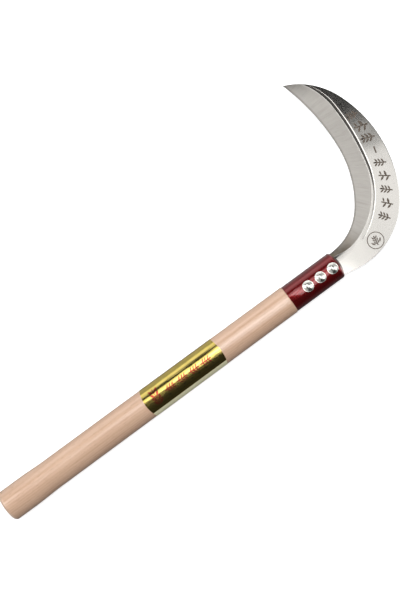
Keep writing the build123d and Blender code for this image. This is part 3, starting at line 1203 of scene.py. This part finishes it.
def add_panel(name, at, toward, size, brightness):
    """A rectangular soft light at a place, facing another place, its long side level."""
    light = bpy.data.lights.new(name, "AREA")
    light.shape = "RECTANGLE"
    light.size, light.size_y = size
    light.energy = brightness * math.pi * size[0] * size[1]
    panel = bpy.data.objects.new(name, light)
    aim = Vector(toward) - Vector(at)
    panel.rotation_mode = "QUATERNION"
    panel.rotation_quaternion = aim.to_track_quat("-Z", "Y")
    panel.location = at
    bpy.context.scene.collection.objects.link(panel)
    return panel


def studio_sky(stage):
    """A pale horizon under a dark studio, so that round metal shows dark gaps between the lights."""
    world = bpy.data.worlds.new("studio")
    bpy.context.scene.world = world
    sky = Finish(world)
    facing = sky.node("ShaderNodeTexCoord", output="Generated")
    height = sky.node("ShaderNodeSeparateXYZ", {}, {0: facing}, 2)
    side = sky.node("ShaderNodeSeparateXYZ", {}, {0: facing}, 1)
    below = 1 - height.above(-0.08, 0.12)
    beyond = side.above(0.5, 0.5) * (1 - height.above(0.35, 0.2))
    end = sky.node("ShaderNodeSeparateXYZ", {}, {0: facing}, 0).math("ABSOLUTE").above(0.5, 0.3)
    amount = stage.sky + below * stage.ground_glow + beyond * stage.far_glow + end * stage.end_glow
    sky.surface(Color=sky.ramp(amount, (0.0, (0, 0, 0)), (1.0, (1, 1, 1))), Strength=1.0)


def paper_floor(stage):
    paper = new_finish("paper_floor")
    fibre = paper.noise(paper.place((60, 60, 60)), 1.0, 4.0, 0.6)
    paper.surface(
        Base_Color=paper.ramp(fibre, (0.3, tuple(c * 0.97 for c in stage.floor)), (0.7, stage.floor)),
        Roughness=0.9,
        Emission_Color=(1, 1, 1),
        Emission_Strength=stage.floor_glow,
    )
    return paper


class SICKLE_OT_stage(bpy.types.Operator):
    """Lays the paper floor and sets the lights and the camera"""

    bl_idname = "sickle.stage"
    bl_label = "Stage"

    def execute(self, context):
        stage = context.scene.sickle_stage
        scene = context.scene
        bm = bmesh.new()
        bmesh.ops.create_grid(bm, x_segments=4, y_segments=4, size=stage.floor_size / 2)
        bmesh.ops.translate(bm, vec=(0, 0, CAD_BOX[0][2]), verts=bm.verts)
        mesh = bpy.data.meshes.new("floor")
        bm.to_mesh(mesh)
        bm.free()
        paper = paper_floor(stage).owner
        mesh.materials.append(paper)
        floor = bpy.data.objects.new("floor", mesh)
        scene.collection.objects.link(floor)
        floor.visible_glossy = False
        floor.visible_diffuse = False
        self.add_wall(scene, stage, paper)
        studio_sky(stage)
        self.add_lights(stage)
        self.add_camera(scene, stage)
        scene.view_settings.view_transform = "Standard"
        return {"FINISHED"}

    def add_wall(self, scene, stage, paper):
        """A round paper wall behind the floor, all the way round."""
        bm = bmesh.new()
        radius = stage.floor_size * 0.49
        bmesh.ops.create_cone(
            bm, cap_ends=False, segments=64, radius1=radius, radius2=radius, depth=stage.floor_size / 2
        )
        mesh = bpy.data.meshes.new("wall")
        bm.to_mesh(mesh)
        bm.free()
        mesh.materials.append(paper)
        wall = bpy.data.objects.new("wall", mesh)
        scene.collection.objects.link(wall)
        wall.visible_glossy = False
        wall.visible_diffuse = False

    def add_lights(self, stage):
        turn = stage.camera_turn
        right = Vector((math.cos(turn), math.sin(turn), 0))
        up = Vector((-math.sin(turn), math.cos(turn), 0))
        middle = Vector((stage.camera_x, stage.camera_y, 0))
        for name, r, u, height, level_turn, size, brightness in LIGHTS:
            at = middle + right * r + up * u + Z_AXIS * height
            panel = add_panel(name, at, middle, size, brightness)
            if level_turn is not None:
                level = Matrix.Rotation(turn + math.radians(level_turn), 4, "Z")
                panel.rotation_quaternion = level.to_quaternion()
            panel.visible_camera = False
            panel.visible_glossy = name not in SHADE_ONLY
            panel.visible_diffuse = name not in SHEEN_ONLY

    def add_camera(self, scene, stage):
        data = bpy.data.cameras.new("camera")
        data.sensor_fit = "AUTO"
        data.sensor_width = 36
        data.lens = 36 * stage.camera_height / stage.view_height
        camera = bpy.data.objects.new("camera", data)
        camera.location = (stage.camera_x, stage.camera_y, stage.camera_height)
        camera.rotation_euler = (0, 0, stage.camera_turn)
        scene.collection.objects.link(camera)
        scene.camera = camera


# Each light: name, place right and up of the camera's axis, height, level turn in degrees, size, brightness.
LIGHTS = (
    ("key_light", -0.34, 0.4575, 1.2, -23.5, (0.625, 0.56), 1.85),
    ("key_band", 0.132, -0.004, 1.201, -40.5, (1.15, 0.24), 2.7),
    ("fill_light", 0.335, 0.0815, 1.22, 0.0, (0.67, 0.403), 1.4),
    ("back_light", 0.84, 0.08, 1.22, 0.0, (0.33, 0.4), 1.4),
    ("side_light", -0.9, 2.1, 0.75, None, (2.6, 1.5), 0.85),
    ("left_light", -1.4, -0.1, 1.1, None, (1.1, 1.3), 2.6),
    ("right_light", 1.5, 0.05, 1.1, None, (1.1, 1.3), 2.6),
    ("soft_light", -0.72, 0.98, 3.6, None, (2.4, 2.4), 4.6),
    ("low_light", 0.9, -1.6, 0.9, None, (2.0, 1.0), 0.45),
)
SHEEN_ONLY = ("back_light", "left_light", "right_light")
SHADE_ONLY = ("soft_light", "low_light")


# ---------------------------------------------------------------- add-on


class SICKLE_PT_panel(bpy.types.Panel):
    """The sickle's pieces, in the order they are built"""

    bl_idname = "SICKLE_PT_panel"
    bl_label = "Hand Sickle"
    bl_space_type = "VIEW_3D"
    bl_region_type = "UI"
    bl_category = "Sickle"

    def draw(self, context):
        for operator in OPERATORS:
            self.layout.operator(operator.bl_idname)
        for name, group in SETTINGS.items():
            box = self.layout.box()
            box.label(text=group.__doc__.rstrip("."))
            for key in group.__annotations__:
                box.prop(getattr(context.scene, name), key)


SETTINGS = {
    "sickle_blade": BladeSettings,
    "sickle_handle": HandleSettings,
    "sickle_ferrule": FerruleSettings,
    "sickle_rivets": RivetSettings,
    "sickle_label": LabelSettings,
    "sickle_stage": StageSettings,
}
OPERATORS = (
    SICKLE_OT_stage,
    SICKLE_OT_handle,
    SICKLE_OT_ferrule,
    SICKLE_OT_blade,
    SICKLE_OT_marks,
    SICKLE_OT_rivets,
    SICKLE_OT_label,
)


def register():
    for name, group in SETTINGS.items():
        bpy.utils.register_class(group)
        setattr(bpy.types.Scene, name, PointerProperty(type=group))
    for operator in OPERATORS:
        bpy.utils.register_class(operator)
    bpy.utils.register_class(SICKLE_PT_panel)


def unregister():
    bpy.utils.unregister_class(SICKLE_PT_panel)
    for operator in reversed(OPERATORS):
        bpy.utils.unregister_class(operator)
    for name, group in SETTINGS.items():
        delattr(bpy.types.Scene, name)
        bpy.utils.unregister_class(group)


def main():
    register()
    for operator in OPERATORS:
        group, call = operator.bl_idname.split(".")
        getattr(getattr(bpy.ops, group), call)()


if __name__ == "__main__":
    main()
